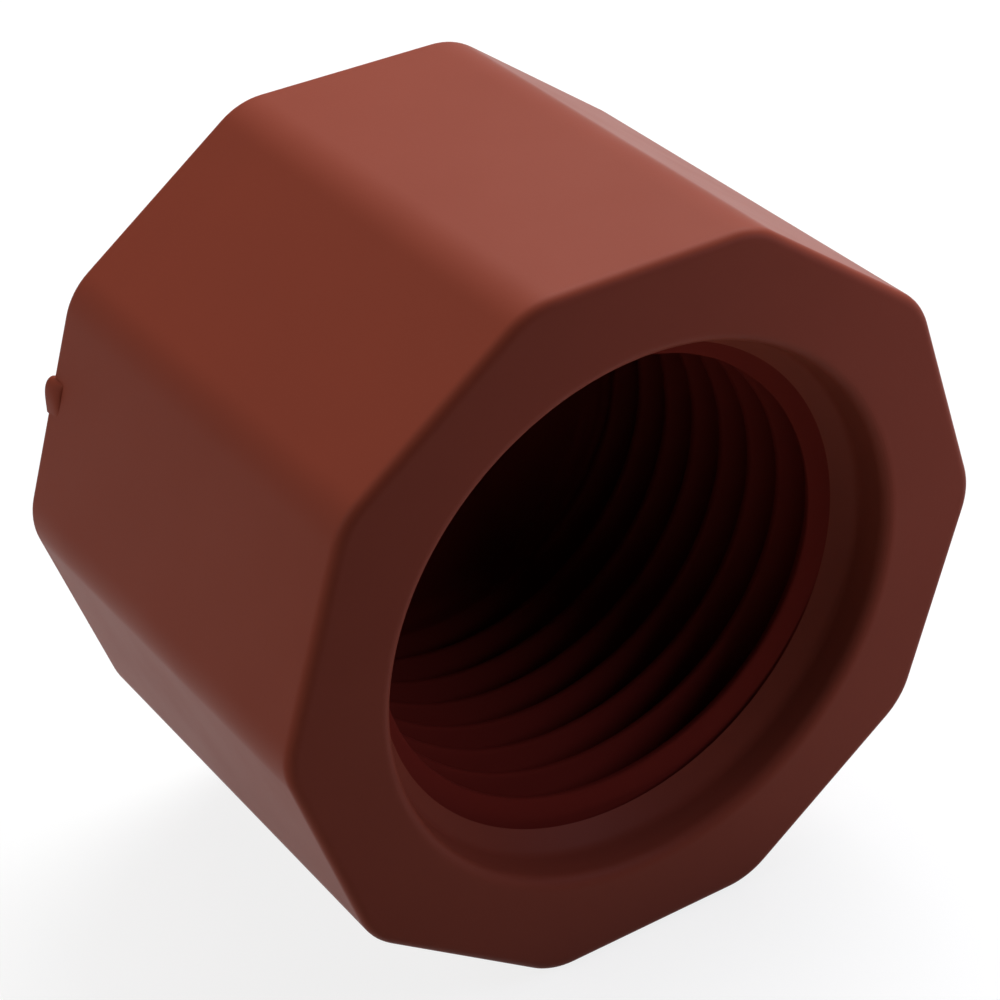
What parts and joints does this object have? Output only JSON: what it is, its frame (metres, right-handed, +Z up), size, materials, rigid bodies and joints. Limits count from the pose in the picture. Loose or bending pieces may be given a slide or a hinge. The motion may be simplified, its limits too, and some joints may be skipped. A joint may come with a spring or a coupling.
{
  "type": "threaded pipe cap",
  "caption": "Moulded plastic end cap that screws onto a half-inch pipe thread, with a ten-sided barrel for grip and a stepped mouth.",
  "frame": {"origin": "bottom centre of the bounding box, on the surface that the cap lies on", "axes": "+Z up, -Y along the socket's axis and out of its mouth, +X to the right when looking into the mouth"},
  "size_m": [0.0306, 0.0198, 0.0293],
  "materials": {
    "brown_pvc": "as-moulded matte reddish brown rigid PVC"
  },
  "bodies": {
    "root": {"pipe_cap": "brown_pvc"}
  },
  "joints": []
}
